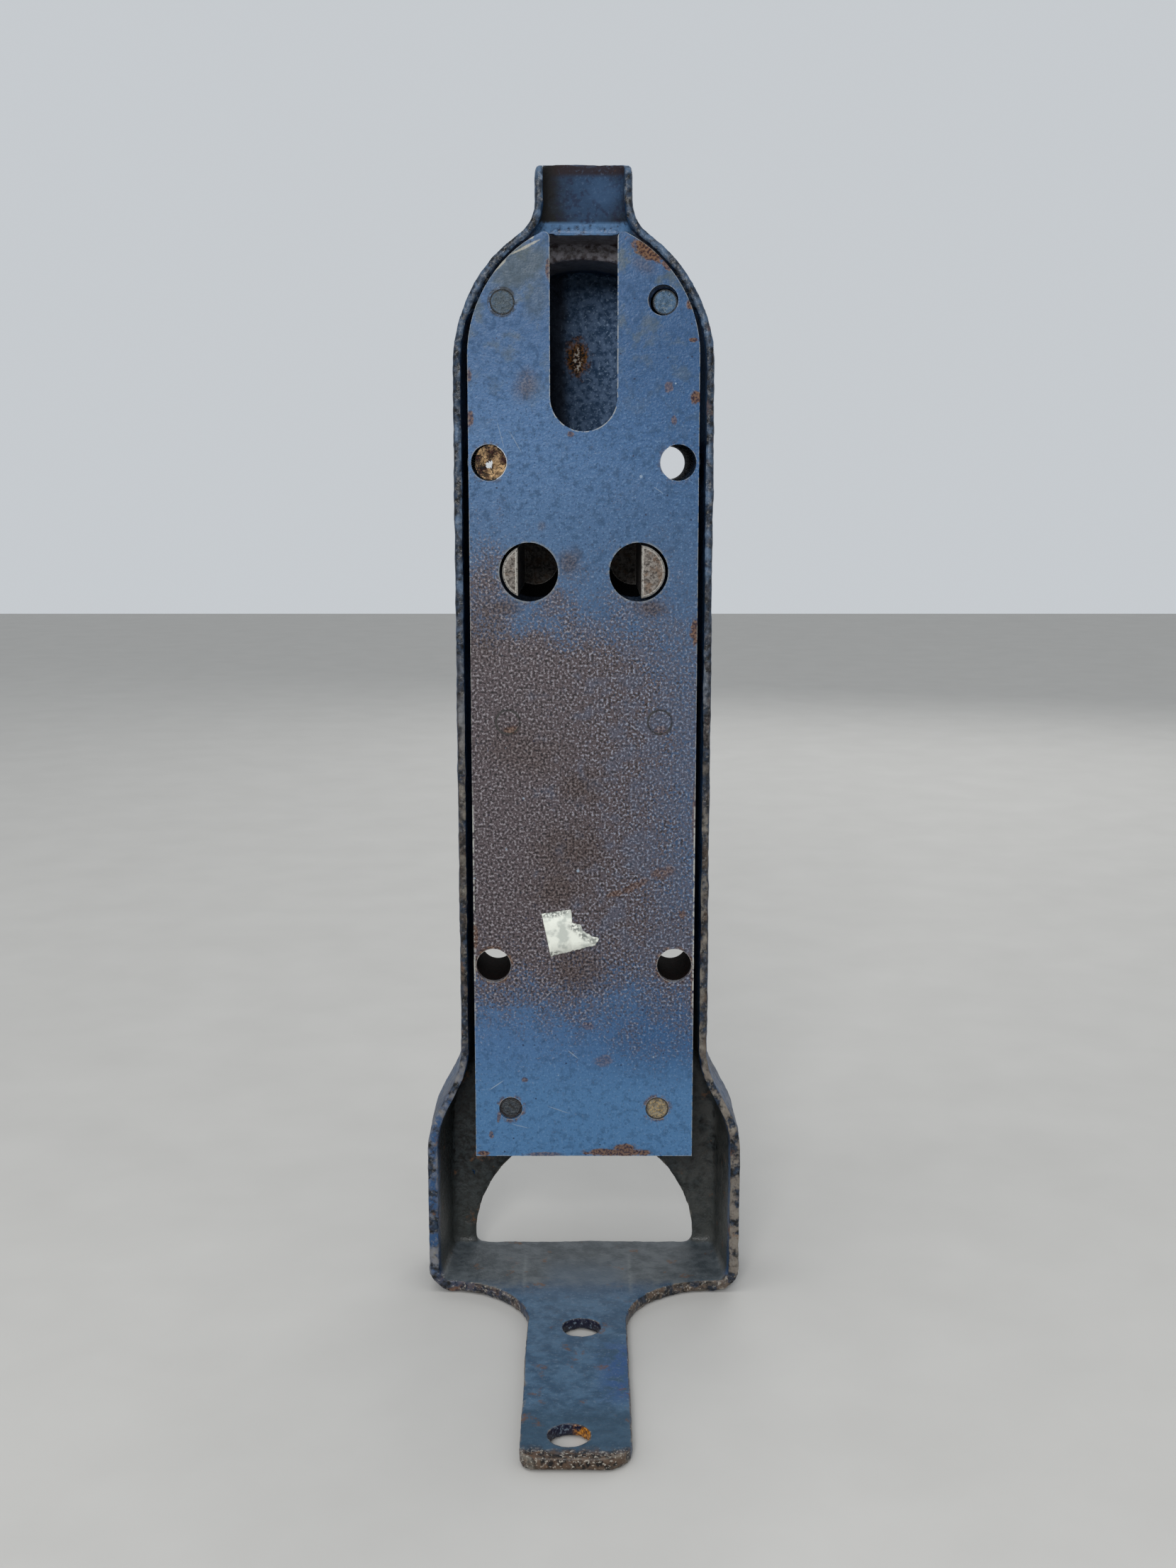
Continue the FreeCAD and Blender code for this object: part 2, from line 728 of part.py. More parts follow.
def bush(side, sign):
    """A flanged bush, pressed into the boss from inside the chamber."""
    name = f"bush_{side}"
    body = new_body(name)
    bore = "( pin_radius + running_clearance )"
    barrel = circles(body, name + "_barrel", "XZ_Plane",
                     [("0", "0", "bush_radius"), ("0", "0", bore)])
    pad(body, barrel, f"boss_back - {JOURNAL_START}", reverse=True)
    flange = circles(body, name + "_flange", "XZ_Plane",
                     [("0", "0", "bush_flange_radius"), ("0", "0", bore)])
    pad(body, flange, "bush_flange_thick", reverse=True)
    place(body, f"{sign}pin_half_span", JOURNAL_START, "pin_height")
    return body


def thrust_washer(side, sign):
    return tube(f"thrust_washer_{side}", "washer_radius", "pin_radius + end_gap",
                WASHER_START, "washer_thick", f"{sign}pin_half_span", "pin_height")


def retaining_ring(side, sign):
    """A split ring in the pin's groove."""
    name = f"retaining_ring_{side}"
    body = new_body(name)
    ring = circles(body, name + "_ring", "XZ_Plane", [
        ("0", "0", "ring_radius"),
        ("0", "0", "pin_radius - ring_groove_depth + end_gap / 4"),
    ])
    pad(body, ring, "ring_thick", reverse=True)
    split = outline(body, name + "_split", "XZ_Plane", [
        ("ring_split_half", f"-ring_radius - {AT_FRONT}"),
        ("ring_split_half", "0"),
        ("-ring_split_half", "0"),
        ("-ring_split_half", f"-ring_radius - {AT_FRONT}"),
    ])
    pocket(body, split, "ring_thick")
    place(body, f"{sign}pin_half_span", RING_START, "pin_height")
    return body


def pins_and_bearings():
    pieces = []
    for side, sign in SIDES:
        pieces.append(half_round_pin(side, sign))
        pieces.append(bush(side, sign))
        pieces.append(thrust_washer(side, sign))
        pieces.append(retaining_ring(side, sign))
    return pieces


# ---------------------------------------------------------------- check and write

def check_document():
    for item in doc.Objects:
        broken = [state for state in item.State if state in ("Invalid", "Error")]
        assert not broken, f"{item.Name} did not compute: {broken}"


def write(pieces):
    os.makedirs("parts", exist_ok=True)
    for piece in pieces:
        piece.Label = piece.Name
        shape = piece.Shape
        assert not shape.isNull() and shape.isValid(), f"{piece.Name} has no valid shape"
        assert len(shape.Solids) == 1, f"{piece.Name} is {len(shape.Solids)} solids"
        shape.exportStep(f"parts/{piece.Name}.step")
        print(f"{piece.Name}: {shape.Volume:.0f} mm3")


doc = FreeCAD.newDocument("bench_tool_body")
sheet = fill_sheet(doc)
PIECES = [housing(), front_plate()] + rivets_and_spacers() + bolt_sleeves() + pins_and_bearings()
doc.recompute()
check_document()
write(PIECES)
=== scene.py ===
"""Looks of the sheet metal brake's body: paint, wear, painted light and shade, and casting texture
over the CAD frame.

Objects are in metres, in the CAD frame. Materials measure object space in millimetres:
x across to the right, y in depth from the plate's face backwards, z up from the floor.
"""
import math

import bmesh
import bpy
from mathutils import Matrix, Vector, noise


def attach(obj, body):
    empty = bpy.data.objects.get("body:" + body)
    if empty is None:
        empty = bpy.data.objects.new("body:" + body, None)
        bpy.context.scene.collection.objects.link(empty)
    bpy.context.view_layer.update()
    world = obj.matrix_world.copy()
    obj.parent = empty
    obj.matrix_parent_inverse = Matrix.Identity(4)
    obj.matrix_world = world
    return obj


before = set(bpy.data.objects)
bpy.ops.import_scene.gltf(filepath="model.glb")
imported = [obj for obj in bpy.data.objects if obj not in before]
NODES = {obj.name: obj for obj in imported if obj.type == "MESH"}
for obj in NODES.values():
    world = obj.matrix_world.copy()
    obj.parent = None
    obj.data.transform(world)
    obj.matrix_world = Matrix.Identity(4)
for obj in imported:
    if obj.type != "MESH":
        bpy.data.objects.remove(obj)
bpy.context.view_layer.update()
SIDES = ("left", "right")
MM = 0.001
SHEEN = 0.022       # light that the sheen of a finish adds to its colour, on the linear scale


# ---------------------------------------------------------------- node materials

def tint(red, green, blue):
    """A linear colour that looks like these 0-255 display values once the sheen lies over it."""
    def linear(value):
        value = value / 255
        return value / 12.92 if value <= 0.04045 else ((value + 0.055) / 1.055) ** 2.4
    return tuple(max(linear(value) - SHEEN, 0.004) for value in (red, green, blue)) + (1.0,)


class Finish:
    """Writes one node material. Sizes and positions are millimetres of object space."""

    def __init__(self, name):
        self.material = bpy.data.materials.new(name)
        self.material.use_nodes = True
        self.tree = self.material.node_tree
        self.skin = self.tree.nodes["Principled BSDF"]
        coordinates = self.node("TexCoord")
        self.normal = coordinates.outputs["Normal"]
        scaled = self.node("VectorMath", operation="SCALE")
        self.link(coordinates.outputs["Object"], scaled.inputs[0])
        scaled.inputs["Scale"].default_value = 1 / MM
        self.point = scaled.outputs[0]
        self.x, self.y, self.z = self.split(self.point)
        self.facing_x, self.facing_y, self.facing_z = self.split(self.normal)

    def node(self, kind, **settings):
        made = self.tree.nodes.new("ShaderNode" + kind)
        for name, value in settings.items():
            setattr(made, name, value)
        return made

    def link(self, value, socket):
        if isinstance(value, bpy.types.NodeSocket):
            self.tree.links.new(value, socket)
        else:
            socket.default_value = value

    def split(self, vector):
        made = self.node("SeparateXYZ")
        self.link(vector, made.inputs[0])
        return made.outputs[0], made.outputs[1], made.outputs[2]

    def calc(self, operation, first, second=0.0, third=0.0):
        made = self.node("Math", operation=operation)
        for socket, value in zip(made.inputs, (first, second, third)):
            self.link(value, socket)
        return made.outputs[0]

    def times(self, *values):
        result = values[0]
        for value in values[1:]:
            result = self.calc("MULTIPLY", result, value)
        return result

    def most(self, *values):
        result = values[0]
        for value in values[1:]:
            result = self.calc("MAXIMUM", result, value)
        return result

    def shifted(self, value, scale, offset):
        return self.calc("MULTIPLY_ADD", value, scale, offset)

    def fade(self, value, none, all_, low=0.0, high=1.0):
        """Smoothly from low where value is none to high where it is all_."""
        made = self.node("MapRange", interpolation_type="SMOOTHSTEP", clamp=False)
        for socket, given in zip(made.inputs, (value, none, all_, low, high)):
            self.link(given, socket)
        return made.outputs[0]

    def band(self, value, low, high, soft):
        return self.times(self.fade(value, low - soft, low + soft),
                          self.fade(value, high + soft, high - soft))

    def moved(self, seed, stretch=(1, 1, 1)):
        made = self.node("Mapping")
        self.link(self.point, made.inputs["Vector"])
        made.inputs["Location"].default_value = (37.0 * seed, 11.0 * seed, 23.0 * seed)
        made.inputs["Scale"].default_value = stretch
        return made.outputs[0]

    def cloud(self, size, seed=0, detail=3.0, rough=0.55, stretch=(1, 1, 1), warp=0.0):
        """Noise from 0 to 1 whose blobs are about size across."""
        made = self.node("TexNoise")
        self.link(self.moved(seed, stretch), made.inputs["Vector"])
        made.inputs["Scale"].default_value = 1 / size
        made.inputs["Detail"].default_value = detail
        made.inputs["Roughness"].default_value = rough
        made.inputs["Distortion"].default_value = warp
        return made.outputs[0]

    def specks(self, spacing, radius, share, seed=0, stretch=(1, 1, 1)):
        """Scattered round specks; share is the part of the cells that have one."""
        made = self.node("TexVoronoi")
        self.link(self.moved(seed, stretch), made.inputs["Vector"])
        made.inputs["Scale"].default_value = 1 / spacing
        chosen = self.fade(self.split(made.outputs["Color"])[0], share, share - 0.01)
        inside = self.fade(made.outputs["Distance"], radius / spacing * 1.2,
                           radius / spacing * 0.7)
        return self.times(chosen, inside)

    def spot(self, place, size, turn=0.0, ragged=0.0, grain=None, soft=0.25):
        """A ragged patch on a face that looks along Y, turned clockwise as seen from the front."""
        cos, sin = math.cos(math.radians(turn)), math.sin(math.radians(turn))
        (across, up), (wide, tall) = place, size
        along = self.slope(cos / wide, -sin / wide, (up * sin - across * cos) / wide)
        aside = self.slope(sin / tall, cos / tall, -(across * sin + up * cos) / tall)
        square = self.calc("MULTIPLY_ADD", along, along, self.calc("MULTIPLY", aside, aside))
        distance = self.calc("SQRT", square)
        if grain is not None:
            distance = self.calc("ADD", distance, self.shifted(grain, 2 * ragged, -ragged))
        return self.fade(distance, 1 + soft, 1 - soft)

    def slope(self, across, up, offset):
        """across times x plus up times z plus offset."""
        if across == 0:
            return self.shifted(self.z, up, offset)
        if up == 0:
            return self.shifted(self.x, across, offset)
        return self.shifted(self.x, across, self.shifted(self.z, up, offset))

    def spots(self, rows, ragged=0.9, grain=None, soft=0.3):
        """Several patches; each row is (across, up, half width, half height, turn, strength)."""
        found = 0.0
        for across, up, wide, tall, turn, strength in rows:
            patch = self.spot((across, up), (wide, tall), turn, ragged, grain, soft)
            found = self.most(found, self.times(patch, strength))
        return found

    def ring(self, across, up, inner, outer, soft):
        """A ring on a face that looks along Y."""
        reach = self.spot((across, up), (outer, outer), soft=soft / outer)
        return self.times(reach, self.calc("SUBTRACT", 1.0,
                                           self.spot((across, up), (inner, inner), soft=0.05)))

    def rings(self, places, inner, outer, soft):
        found = 0.0
        for across, up in places:
            found = self.most(found, self.ring(across, up, inner, outer, soft))
        return found

    def mix(self, share, first, second):
        made = self.node("Mix", data_type="RGBA")
        for index, value in ((0, share), (6, first), (7, second)):
            self.link(value, made.inputs[index])
        return made.outputs[2]

    def edges(self, radius):
        """1 along edges, from the way that the surface turns within a radius."""
        rounded = self.node("Bevel", samples=4)
        rounded.inputs["Radius"].default_value = radius * MM
        true = self.node("NewGeometry")
        dot = self.node("VectorMath", operation="DOT_PRODUCT")
        self.link(rounded.outputs[0], dot.inputs[0])
        self.link(true.outputs["Normal"], dot.inputs[1])
        return self.fade(dot.outputs["Value"], 0.985, 0.8)

    def ridges(self, low=0.5, high=0.56):
        """1 on the mesh's own sharp convex edges."""
        true = self.node("NewGeometry")
        return self.fade(true.outputs["Pointiness"], low, high)

    def bump(self, height, depth, under=None):
        made = self.node("Bump")
        made.inputs["Strength"].default_value = 1.0
        made.inputs["Distance"].default_value = depth * MM
        self.link(height, made.inputs["Height"])
        if under is not None:
            self.link(under, made.inputs["Normal"])
        return made.outputs[0]

    def finish(self, colour, roughness, normal=None, metallic=0.0, specular=0.5):
        self.link(colour, self.skin.inputs["Base Color"])
        self.link(roughness, self.skin.inputs["Roughness"])
        self.link(metallic, self.skin.inputs["Metallic"])
        self.skin.inputs["Specular IOR Level"].default_value = specular
        if normal is not None:
            self.link(normal, self.skin.inputs["Normal"])
        return self.material


# ---------------------------------------------------------------- places, in millimetres

def span(name, axis):
    """How far a node reaches along an axis, from where to where."""
    places = [corner[axis] / MM for corner in NODES[name].bound_box]
    return min(places), max(places)


def middle(name):
    """Where a node's middle is, across and up, to a twentieth of a millimetre.

    A round piece is a polygon here, so its measured middle is a few micrometres off.
    """
    places = []
    for axis in (0, 2):
        low, high = span(name, axis)
        places.append(round((low + high) / 2 * 20) / 20)
    return tuple(places)


def pair(name):
    return [middle(f"{name}_{side}") for side in SIDES]


PINS = pair("bush")
TOP_RIVETS = pair("rivet_top")
MIDDLE_RIVETS = pair("rivet_middle")
BOTTOM_RIVETS = pair("rivet_bottom")
LOW_BOLTS = pair("bolt_sleeve_low")
HIGH_BOLTS = pair("bolt_sleeve_high")
RIVET_RADIUS = 5.3
BOLT_RADIUS = 7.9
PIN_RADIUS = 11.8
FLATS = -29.5, 25.8     # where the pins' flats are, across
PLATE_HALF = span("front_plate", 0)[1]
SLOT_HALF = 14.75
SLOT_ROUND = 419.25     # where the slot's straight sides end and its round bottom starts
CHAMBER_BACK = 99.6     # how deep the chamber's back wall lies
# The casting's uneven skin: name, size of its bumps and the most that they sink.
CAST_SKIN = ("waves", 24, 0.7), ("lumps", 6.0, 0.45), ("grit", 2.4, 0.4)
CAST_SINK = sum(depth for _, _, depth in CAST_SKIN)
FLOOR_TOP = 7.0
PAN_TOP = 490.0         # where the pan's inside ends and the neck's channel starts
CHANNEL_DEPTH = 10.0
BOX_INSIDE = 72.25      # half the width inside the shell at its widest
TONGUE_END = span("housing_shell", 1)[0]        # where the tongue's nose is, in depth
FOOT_HOLES = (-14.5, 8.0), (-147.0, -37.0)      # the stretch across and the stretch in depth


# ---------------------------------------------------------------- the housing's paint, with painted light and shade

def housing_paint():
    """Dark blue paint over a rough casting, brown along its rims, dark with painted shade and dusty
    inside.
    """
    f = Finish("housing_paint")
    f.broad = f.cloud(26, seed=1, detail=2)
    f.medium = f.cloud(7, seed=2, detail=4, rough=0.62)
    f.small = f.cloud(2.6, seed=3, detail=3, rough=0.6)
    f.fine = f.cloud(1.3, seed=4, detail=2, rough=0.6)
    f.even = f.fade(f.small, 0.35, 0.65)
    f.speck = f.fade(f.fine, 0.56, 0.7)
    f.inward = looking_in(f)
    back = f.times(f.fade(f.facing_y, -0.1, -0.45), f.fade(f.z, 300, 330),
                   f.fade(f.y, CHAMBER_BACK - 9.6, CHAMBER_BACK - 5.6),
                   f.fade(f.y, CHAMBER_BACK + CAST_SINK + 0.35, CHAMBER_BACK + 0.9))
    neck = f.times(f.inward, f.fade(f.z, PAN_TOP + 2, PAN_TOP + 4), f.fade(f.y, 4, 7))
    flat = f.times(f.fade(f.facing_z, 0.55, 0.9), f.fade(f.z, FLOOR_TOP + 5, FLOOR_TOP + 2))

    colour = rims(f, cast_blue(f))
    colour = shade_and_grease_inside(f, colour)
    colour = f.mix(back, colour, chamber_back(f))
    colour = f.mix(neck, colour, neck_channel(f))
    colour = bright_lip(f, colour)
    colour = dusty_floor(f, colour, flat)
    colour = bare_iron(f, colour)
    colour = rust_patches(f, colour, back)
    colour = foot_holes(f, colour)
    colour = rusty_crumb(f, colour, back)

    normal = f.bump(f.calc("ADD", f.times(f.small, 0.6), f.times(f.fine, 0.4)), 0.55)
    roughness = f.most(f.fade(f.small, 0.3, 0.7, 0.3, 0.48), f.times(flat, 0.62),
                       f.times(neck, 0.8), f.times(back, 0.75))
    return f.finish(colour, roughness, normal, specular=0.3)


def looking_in(f):
    """1 where a face looks to the casting's middle, to its front or to the slot's level."""
    reach, slot_level, slot_reach = 40, 390, 200
    inward = f.calc("ADD", f.times(f.x, f.facing_x, -1 / reach), f.times(f.facing_y, -1.0))
    upright = f.times(f.shifted(f.z, -1 / slot_reach, slot_level / slot_reach), f.facing_z)
    return f.fade(f.calc("ADD", inward, upright), -0.1, 0.3)


def cast_blue(f):
    blue = f.mix(f.fade(f.broad, 0.35, 0.65), tint(42, 58, 80), tint(56, 78, 106))
    blue = f.mix(f.times(f.speck, 0.4), blue, tint(96, 124, 156))
    return f.mix(f.times(f.fade(f.small, 0.5, 0.3), 0.6), blue, tint(30, 38, 50))


def rims(f, colour):
    """Nearly black above and browner below, with flecks of blue left on the box's left."""
    at_rim = f.times(f.fade(f.facing_y, -0.2, -0.6), f.fade(f.y, 4.5, 2.5))
    at_box = f.fade(f.z, 135, 95)
    rim = f.mix(f.even, tint(32, 36, 42), tint(54, 64, 78))
    brown = f.mix(f.even, tint(46, 41, 39), tint(84, 75, 68))
    rim = f.mix(f.times(f.fade(f.z, 420, 180), f.fade(f.medium, 0.38, 0.6)), rim, brown)
    chips = f.mix(f.fade(f.x, 10, -10), tint(112, 105, 98), tint(58, 82, 114))
    chipped = f.times(at_box, f.fade(f.medium, 0.42, 0.54), f.fade(f.small, 0.36, 0.5, 0.4, 1.0))
    rim = f.mix(chipped, rim, chips)
    # pale flecks on the rims: partly worn paint, partly painted highlight
    rim = f.mix(f.times(f.speck, 0.45), rim, tint(126, 124, 120))
    return f.mix(at_rim, colour, rim)


def shade_and_grease_inside(f, colour):
    """Painted shade inside the box, lighter towards its right and its floor, and burnt grease in
    the throat over the chamber.
    """
    inner = f.times(f.inward, f.fade(f.y, 3, 9), f.fade(f.z, FLOOR_TOP - 2, FLOOR_TOP - 0.5),
                    f.fade(f.z, PAN_TOP + 1, PAN_TOP - 1.5),
                    f.fade(f.calc("ABSOLUTE", f.x), BOX_INSIDE + 0.75, BOX_INSIDE - 0.75))
    # painted shade: the inside of the box is painted dark grey where little light reaches
    box_shade = f.mix(f.even, tint(40, 43, 44), tint(60, 64, 65))
    # painted light: lighter towards the box's right, as if lit from the left
    painted_light_across = f.times(f.fade(f.x, 0, 60), f.fade(f.medium, 0.35, 0.6), 0.7)
    box_shade = f.mix(painted_light_across, box_shade, tint(80, 80, 78))
    # lighter towards the box's floor
    box_shade = f.mix(f.times(f.fade(f.z, 60, 15), 0.5), box_shade, tint(82, 84, 82))
    colour = f.mix(f.times(inner, f.fade(f.z, 170, 110)), colour, box_shade)
    throat = f.times(inner, f.fade(f.z, 440, 462),
                     f.fade(f.y, CHAMBER_BACK - 7.6, CHAMBER_BACK - 15.6))
    burnt = f.mix(f.even, tint(72, 64, 66), tint(146, 144, 152))
    burnt = f.mix(f.times(f.speck, 0.6), burnt, tint(140, 138, 140))
    return f.mix(throat, colour, burnt)


def chamber_back(f):
    """Speckled blue with painted glints, and painted shadow towards the left."""
    speckled = f.mix(f.fade(f.small, 0.36, 0.62), tint(52, 72, 98), tint(92, 113, 142))
    # painted glints: pale blue specks over the back wall
    speckled = f.mix(f.times(f.fade(f.fine, 0.56, 0.68), 0.6), speckled, tint(146, 168, 196))
    # painted shadow: darker towards the left, behind the slot's left edge
    painted_shadow_left = f.fade(f.calc("ADD", f.x, f.shifted(f.medium, 6, -3)), -6, -12)
    return f.mix(f.times(painted_shadow_left, 0.8), speckled, tint(40, 43, 50))


def neck_channel(f):
    """Painted shade along the channel's sides, with painted shadow down its left side; dark along
    its top, paler right of its middle.
    """
    pale = f.spot((4, 506), (14, 15), ragged=0.5, grain=f.medium, soft=0.5)
    palest = f.spot((8.2, 507), (6, 5), ragged=0.7, grain=f.medium, soft=0.5)
    channel = f.mix(pale, tint(24, 30, 42), tint(54, 70, 92))
    channel = f.mix(f.times(f.fade(f.small, 0.5, 0.36), 0.55), channel, tint(34, 44, 58))
    channel = f.mix(f.times(palest, 0.5), channel, tint(66, 88, 116))
    channel = f.mix(f.times(f.fade(f.z, 512.5, 515), 0.85), channel, tint(52, 36, 32))
    # painted shadow down the channel's left side
    channel = f.mix(f.fade(f.x, -9, -17), channel, tint(16, 18, 24))
    return f.mix(f.times(f.speck, pale, 0.25), channel, tint(92, 112, 136))


def bright_lip(f, colour):
    """The rounded step from the neck's channel down into the pan."""
    lip = f.times(f.inward, f.band(f.z, PAN_TOP - 2.5, PAN_TOP + 4, 1.0),
                  f.fade(f.y, CHANNEL_DEPTH - 4, CHANNEL_DEPTH - 1),
                  f.fade(f.y, CHANNEL_DEPTH + 7, CHANNEL_DEPTH + 3))
    return f.mix(f.times(lip, f.fade(f.small, 0.25, 0.55)), colour, tint(84, 114, 148))


def dusty_floor(f, colour, flat):
    """Dust on the box's floor, blue paint with little dust on the tongue."""
    dusty = f.mix(f.fade(f.medium, 0.35, 0.65), tint(72, 78, 82), tint(94, 100, 104))
    trodden = f.times(f.fade(f.calc("ABSOLUTE", f.x), 24, 12), f.fade(f.y, 30, 5), 0.6)
    dusty = f.mix(trodden, dusty, tint(80, 94, 108))
    inside = f.fade(f.calc("ADD", f.y, f.shifted(f.medium, 24, -12)), -22, 4)
    colour = f.mix(f.times(flat, inside), colour, dusty)

    painted = f.mix(f.fade(f.medium, 0.35, 0.65), tint(62, 82, 102), tint(80, 104, 126))
    bluer = f.times(f.fade(f.x, 2, 14), f.band(f.y, -112, -62, 8), f.fade(f.medium, 0.4, 0.55))
    painted = f.mix(f.times(bluer, 0.7), painted, tint(56, 80, 122))
    painted = f.mix(f.times(f.speck, 0.35), painted, tint(116, 132, 148))
    near_end = f.fade(f.calc("ADD", f.y, f.shifted(f.medium, 16, -8)),
                      TONGUE_END + 49, TONGUE_END + 25)
    painted = f.mix(f.times(near_end, 0.6), painted, tint(58, 74, 86))
    colour = f.mix(f.times(flat, f.calc("SUBTRACT", 1.0, inside)), colour, painted)

    seams = 0.0
    for seam in (-28.6, 22.0):
        seams = f.most(seams, f.band(f.x, seam - 0.8, seam + 0.8, 0.8))
    seams = f.times(seams, flat, f.band(f.y, -10, 28, 8), f.fade(f.small, 0.3, 0.55))
    return f.mix(f.times(seams, 0.4), colour, tint(118, 124, 126))


def bare_iron(f, colour):
    """Bare brown iron round the foot's edges and on the tongue's nose, and edges lightened partly
    by rubbing and partly by painted highlight.
    """
    metal = f.mix(f.fade(f.small, 0.38, 0.6), tint(46, 40, 36), tint(90, 76, 66))
    metal = f.mix(f.times(f.fade(f.fine, 0.55, 0.66), 0.8), metal, tint(166, 160, 150))
    nose = f.times(f.fade(f.calc("ADD", f.y, f.shifted(f.medium, 12, -6)),
                          TONGUE_END + 10, TONGUE_END + 4), f.fade(f.z, 60, 20))
    nose = f.times(nose, f.fade(f.medium, 0.25, 0.45, 0.7, 1.0))
    side = f.times(f.fade(f.facing_z, 0.93, 0.75), f.fade(f.z, FLOOR_TOP + 3, FLOOR_TOP + 1),
                   f.fade(f.y, 8, -2), f.fade(f.medium, 0.42, 0.56, 0.15, 0.9))
    colour = f.mix(f.most(nose, side), colour, metal)
    # convex ridges: lighter partly from rubbed paint, partly as painted highlight
    rubbed = f.times(f.ridges(0.52, 0.56), f.fade(f.medium, 0.4, 0.56))
    worn_and_highlit_edge = f.mix(f.fade(f.z, 330, 240), tint(100, 122, 148), tint(142, 136, 126))
    return f.mix(f.times(rubbed, 0.6), colour, worn_and_highlit_edge)


def rust_patches(f, colour, back):
    rusty = f.times(f.fade(f.cloud(13, seed=6, detail=4, rough=0.65), 0.6, 0.68),
                    f.fade(f.small, 0.38, 0.55), f.calc("SUBTRACT", 1.0, back),
                    f.fade(f.z, 250, 60, 0.35, 0.7))
    return f.mix(rusty, colour, tint(104, 76, 56))


def foot_holes(f, colour):
    """Painted shade inside the tongue's holes, and orange rust at the right of the front one."""
    across, depth = FOOT_HOLES
    hole = f.times(f.fade(f.facing_z, 0.75, 0.45), f.band(f.x, *across, 0.5),
                   f.band(f.y, *depth, 0.5), f.fade(f.z, 0.4, 1.0))
    # painted shade: darker, greyer paint on the holes' walls
    colour = f.mix(f.times(hole, 0.9), colour, f.mix(f.speck, tint(36, 46, 58), tint(96, 110, 124)))
    rusty = f.times(hole, f.fade(f.y, -125, -130), f.fade(f.x, -5, -1), f.fade(f.small, 0.34, 0.5))
    orange = f.mix(f.fade(f.fine, 0.4, 0.6), tint(120, 78, 40), tint(206, 140, 60))
    return f.mix(rusty, colour, orange)


def rusty_crumb(f, colour, back):
    """A crumb of rust on the chamber's back, with a few painted glints on it."""
    crumb = f.spot((-3.2, 441.5), (5.5, 8.5), ragged=0.8, grain=f.small, soft=0.35)
    crumbs = f.mix(f.fade(f.fine, 0.4, 0.6), tint(36, 28, 22), tint(134, 90, 48))
    colour = f.mix(f.times(crumb, back), colour, crumbs)
    # painted glints: a few near-white flecks on the crumb
    glint = f.spot((-3.0, 440.5), (2.2, 5.5), ragged=0.8, grain=f.small, soft=0.3)
    glint = f.times(glint, back, f.fade(f.fine, 0.5, 0.6))
    return f.mix(glint, colour, tint(215, 210, 200))


# ---------------------------------------------------------------- the plate's paint, with painted light and highlights

# Patches on the plate: across, up, half width, half height, turn, strength.
RUST_SPOTS = [
    # the two shoulders and the slot's edges
    (26.8, 481.6, 7.5, 3.2, 30, 0.95), (36.0, 474.5, 2.4, 1.2, 45, 0.8),
    (46.6, 458.7, 1.5, 2.6, 15, 0.9), (-15.2, 473.3, 1.1, 5.0, 0, 0.7),
    (-5.7, 403.2, 1.5, 1.3, 0, 0.7),
    # the right edge and near it
    (47.7, 443.7, 1.8, 0.9, 0, 0.85), (49.2, 419.3, 2.0, 2.6, 0, 0.9),
    (37.4, 423.8, 1.9, 2.3, 20, 0.6), (39.7, 409.3, 1.2, 1.9, 0, 0.6),
    (49.6, 315.9, 1.7, 5.0, 0, 0.85), (50.2, 232.0, 0.8, 14.0, 0, 0.5),
    (50.2, 150.0, 0.9, 10.0, 0, 0.55), (45.1, 186.3, 1.6, 1.6, 0, 0.6),
    # the left edge
    (-50.2, 428.4, 1.2, 3.2, 0, 0.7), (-49.9, 409.9, 1.7, 3.2, 0, 0.8),
    (-50.0, 176.0, 1.0, 6.0, 0, 0.6),
    # the middle rivets, the streak beside the label, and below it
    (-33.0, 272.0, 3.4, 1.8, 0, 0.6), (35.2, 272.0, 3.2, 2.2, 0, 0.4),
    (36.0, 206.0, 5.5, 2.6, -18, 0.5), (24.0, 200.0, 7.0, 1.6, -28, 0.5),
    (14.0, 196.0, 3.5, 1.3, -10, 0.55), (2.0, 133.0, 3.0, 2.0, 0, 0.45),
    (9.0, 116.0, 4.0, 2.6, -15, 0.4), (-27.8, 106.8, 1.4, 1.2, 0, 0.7),
    (-39.9, 88.7, 0.8, 2.4, 10, 0.7), (-43.5, 80.0, 1.0, 1.8, 0, 0.7),
    # the bottom edge
    (16.8, 71.0, 17.0, 1.9, 0, 0.9), (19.0, 73.0, 6.0, 2.2, 0, 0.9),
    (-18.0, 70.0, 9.0, 1.1, 0, 0.6), (-47.5, 70.5, 2.8, 1.2, 0, 0.9),
]
STAINS = [
    (-6.5, 346.8, 4.2, 5.5, 0, 0.6), (-35.3, 327.5, 7.0, 3.6, 0, 0.7),
    (29.3, 327.0, 7.0, 3.4, 0, 0.7), (-24.6, 423.8, 4.6, 5.6, 20, 0.6),
    (-18.7, 363.4, 1.6, 2.0, 0, 0.4), (-0.8, 246.0, 9.0, 8.0, 0, 0.55),
    (-6.0, 216.0, 14.0, 11.0, 0, 0.6), (-12.6, 198.0, 12.0, 8.0, 0, 0.6),
    (-2.5, 160.0, 10.0, 10.0, 15, 0.6), (-26.0, 262.0, 16.0, 10.0, 10, 0.4),
    (-44.0, 320.0, 7.0, 14.0, 0, 0.4), (26.0, 475.0, 5.0, 2.5, 30, 0.4),
]
GREY_FILM = [(-28, 474, 13, 8, -32, 0.7), (-21, 462, 5, 9, 0, 0.4)]
FLAKED_SHOULDER = [
    (-26, 482.2, 8, 0.5, -26, 0.7), (-36, 475.0, 4.5, 0.45, -44, 0.65),
    (-23, 486.5, 1.4, 0.6, -15, 0.8),
]
